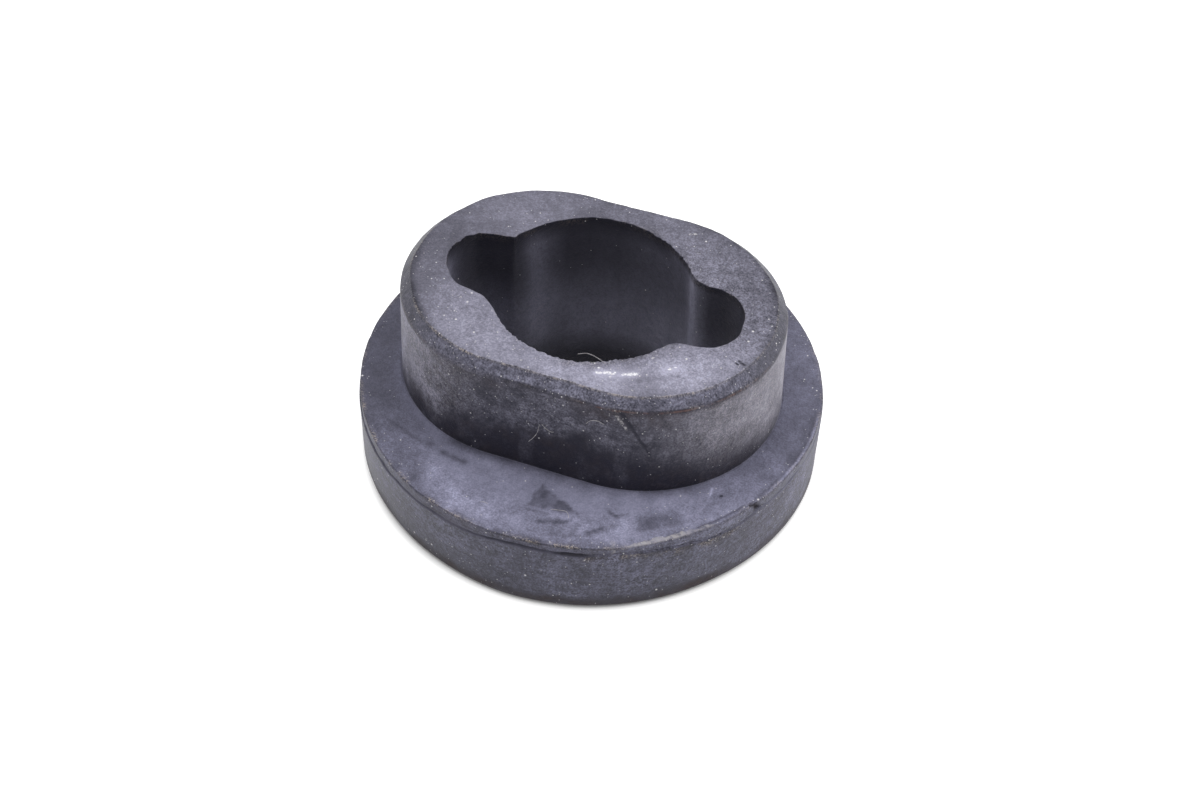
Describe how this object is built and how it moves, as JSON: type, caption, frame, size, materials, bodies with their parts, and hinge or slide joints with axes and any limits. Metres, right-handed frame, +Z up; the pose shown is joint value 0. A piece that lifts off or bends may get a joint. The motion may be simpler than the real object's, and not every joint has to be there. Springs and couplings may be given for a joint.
{
  "type": "rubber damper",
  "caption": "Moulded rubber damper: round flange, straight-sided boss with round ends, and a lobed through-bore that grips and cushions a keyed pin.",
  "frame": {"origin": "centre of the flange's underside, on the bore's axis", "axes": "+Z up along the bore, +X along the boss's length, through both lobes"},
  "size_m": [0.0406, 0.0404, 0.0172],
  "materials": {
    "rubber": "matt moulded rubber with a light bloom"
  },
  "bodies": {
    "root": {"damper_body": "rubber"}
  },
  "joints": []
}
